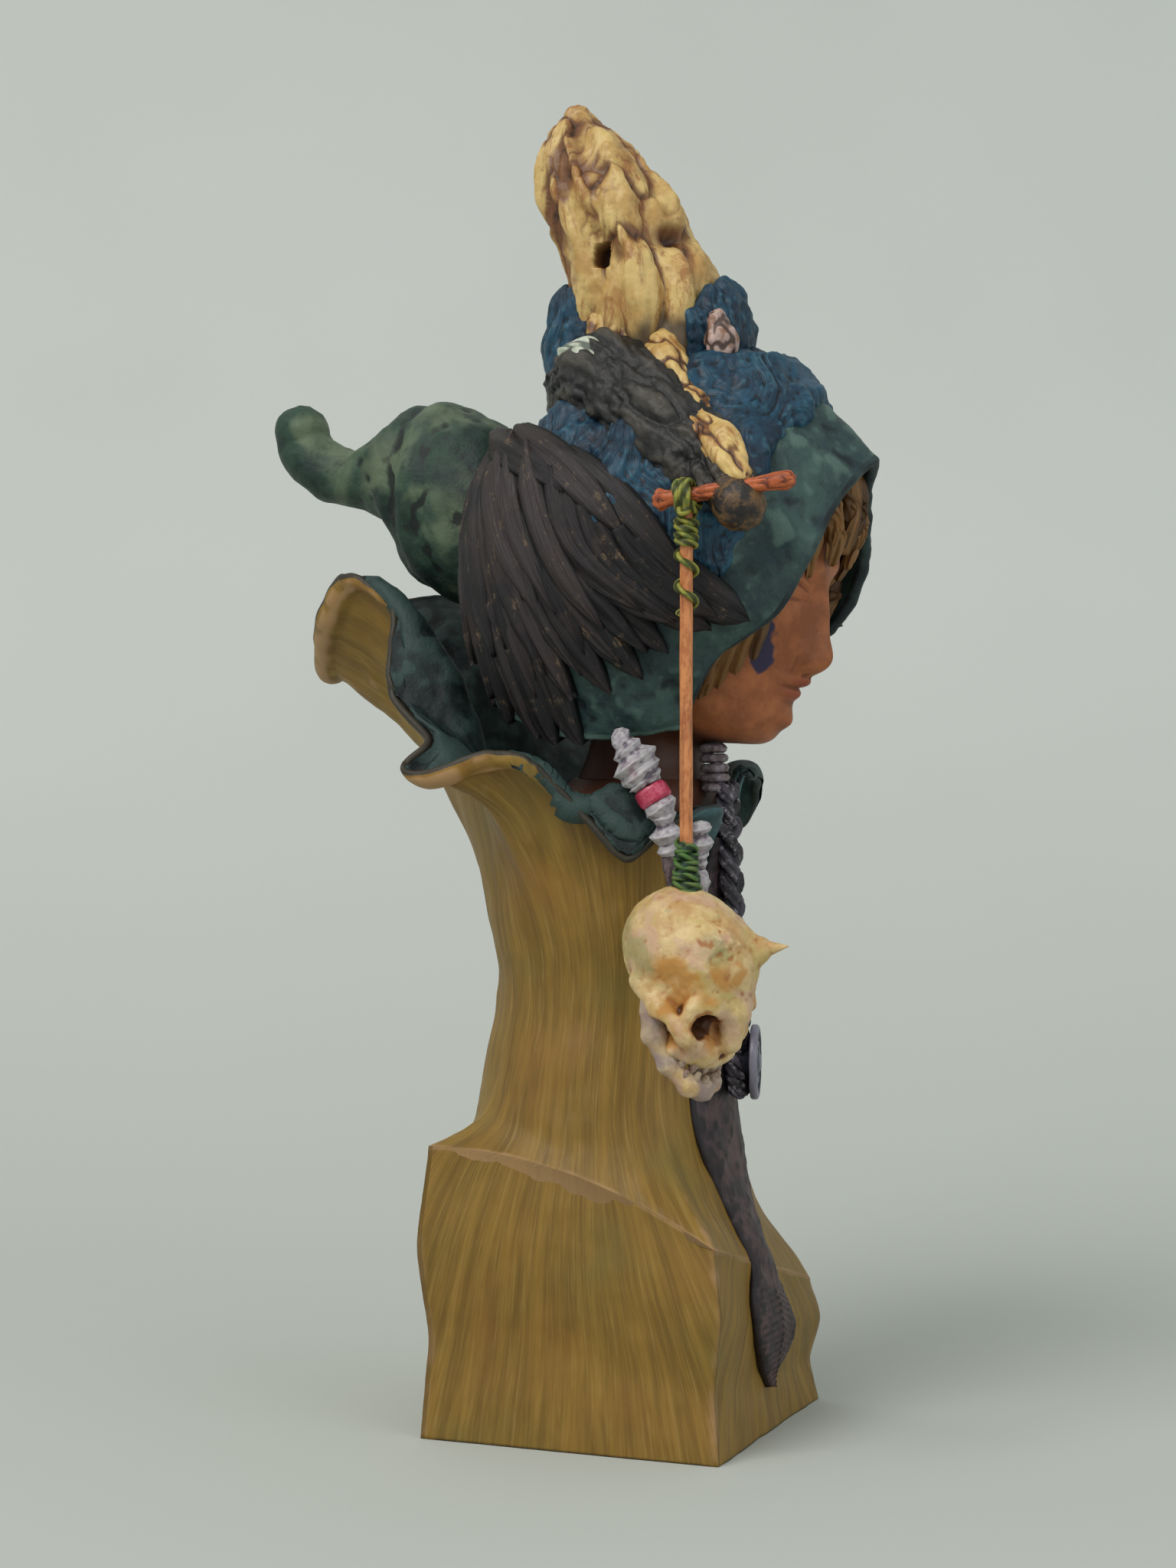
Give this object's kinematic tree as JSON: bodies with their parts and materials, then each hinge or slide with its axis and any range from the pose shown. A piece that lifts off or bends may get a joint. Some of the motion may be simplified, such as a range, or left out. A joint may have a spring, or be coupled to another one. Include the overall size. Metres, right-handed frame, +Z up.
{
  "type": "display bust",
  "caption": "Painted cast bust of a hooded figure on a carved plinth, with a feather mantle, a root rising from the hood and a small horned skull that swings from a twig.",
  "frame": {"origin": "centre of the plinth's underside", "axes": "+Z up, the figure faces -Y, its right side is -X"},
  "size_m": [0.0688, 0.1002, 0.204],
  "materials": {
    "painted_ochre": "brushed ochre, gold and olive paint, satin",
    "lining_paint": "dark green paint, scuffed",
    "apron_paint": "dark purple-brown paint, hatched",
    "dark_skin": "dark brown paint, satin",
    "skin": "warm brown paint, satin",
    "hair": "ochre and brown paint, matt",
    "hood_paint": "mottled teal paint, satin",
    "tail_paint": "green paint with pale patches, satin",
    "fur_paint": "blue paint with teal highlights",
    "chip_paint": "pale grey paint, matt",
    "pink_paint": "dusty pink paint, matt",
    "feather_paint": "violet-brown paint, scuffed, satin",
    "root_paint": "cream and brown weathered root",
    "bark": "black cracked bark",
    "runner_wood": "peeled cream wood",
    "twig_wood": "rough red-brown wood",
    "rod_wood": "smooth tan wood",
    "twine": "yellow-green twine",
    "binding": "green twine",
    "bone": "aged bone paint with orange stains, satin",
    "horn": "amber horn, satin",
    "teeth": "ivory, gloss",
    "shell": "lilac-white shell, satin",
    "ring_red": "crimson, gloss",
    "spike": "dark purple, satin",
    "beads": "brown-lilac beads, satin",
    "strap": "lilac and black braid, matt",
    "medal": "dark blue-grey with a lilac rim, satin",
    "pin": "bare, machined"
  },
  "bodies": {
    "bust": {"plinth": "painted_ochre", "plinth_pin": "pin", "cape": "painted_ochre", "cape_lining": "lining_paint", "apron": "apron_paint", "chest": "dark_skin", "neck_pin": "pin", "head": "skin", "hair_mass": "hair", "hair_fringe": "hair", "side_locks": "hair", "hood": "hood_paint", "hood_tail": "tail_paint", "fur_cap": "fur_paint", "fur_ear_rear": "fur_paint", "fur_ear_front": "fur_paint", "bone_chip": "chip_paint", "pink_chip": "pink_paint", "feathers_right": "feather_paint", "feathers_left": "feather_paint", "root_pin": "pin", "root_knob": "root_paint", "root_limb": "bark", "root_runner": "runner_wood", "twig": "twig_wood", "spiral_shell": "shell", "shell_beads": "shell", "red_ring": "ring_red", "shell_spike": "spike", "side_shell": "shell", "shell_drop": "shell", "throat_beads": "beads", "braided_strap": "strap", "medallion": "medal"},
    "pendant": {"twine_loop": "twine", "rod": "rod_wood", "rod_twine": "twine", "skull_binding": "binding", "skull": "bone", "skull_horn": "horn", "skull_jaw": "bone", "upper_teeth": "teeth", "lower_teeth": "teeth"}
  },
  "joints": [
    {"name": "pendant_swing", "type": "hinge", "parent": "bust", "child": "pendant", "pos_m": [-0.031, -0.0214, 0.1413], "axis": [0, 0.993, -0.1184], "range_deg": [-3, 60]}
  ]
}
